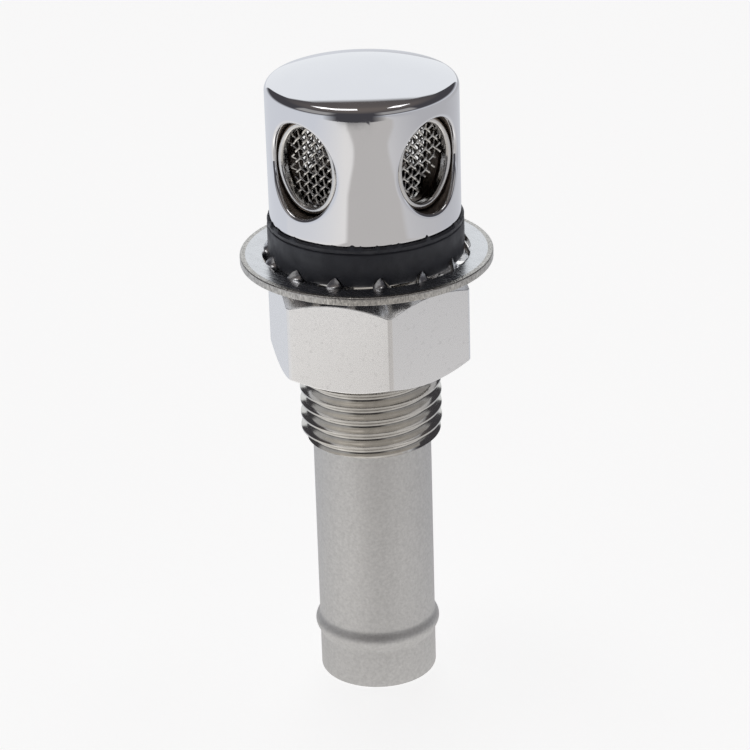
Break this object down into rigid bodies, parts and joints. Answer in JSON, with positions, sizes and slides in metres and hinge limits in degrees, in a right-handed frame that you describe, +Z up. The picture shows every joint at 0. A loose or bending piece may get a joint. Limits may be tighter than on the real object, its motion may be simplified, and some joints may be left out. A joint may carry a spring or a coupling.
{
  "type": "fuel tank vent",
  "caption": "Through-hull fuel tank vent: domed head with screened side windows, threaded shank, gasket, toothed lock washer, hex nut and beaded hose tube.",
  "frame": {"origin": "middle of the hose tube's open end, on the axis", "axes": "+Z up the axis from the hose tube to the domed head; windows face +X, +Y, -X and -Y"},
  "size_m": [0.0368, 0.0368, 0.0968],
  "materials": {
    "polished_stainless": "mirror-polished 316 stainless steel",
    "turned_stainless": "turned stainless steel",
    "blasted_stainless": "bead-blasted stainless steel",
    "gasket_rubber": "moulded black nitrile rubber",
    "washer_stainless": "stamped stainless sheet with a sheared rim",
    "nut_stainless": "satin cast stainless steel",
    "ring_stainless": "pressed stainless steel",
    "wire_stainless": "bright stainless wire"
  },
  "bodies": {
    "vent_body": {"vent_head": "polished_stainless", "threaded_shank": "turned_stainless", "hose_tube": "blasted_stainless", "gasket": "gasket_rubber", "screen_ring_1": "ring_stainless", "screen_ring_2": "ring_stainless", "screen_ring_3": "ring_stainless", "screen_ring_4": "ring_stainless", "mesh_screen_1": "wire_stainless", "mesh_screen_2": "wire_stainless", "mesh_screen_3": "wire_stainless", "mesh_screen_4": "wire_stainless"},
    "washer": {"lock_washer": "washer_stainless"},
    "nut": {"hex_nut": "nut_stainless"}
  },
  "joints": [
    {"name": "washer_travel", "type": "slide", "parent": "vent_body", "child": "washer", "axis": [0, 0, 1], "range_m": [-0.0212, 0]},
    {"name": "nut_turn", "type": "hinge", "parent": "washer", "child": "nut", "pos_m": [0, 0, 0.059], "axis": [0, 0, 1], "range_deg": [-3600, 0]}
  ],
  "couplings": [
    {"joint": "washer_travel", "follows": "nut_turn", "m_per_rad": 0.00033693}
  ]
}
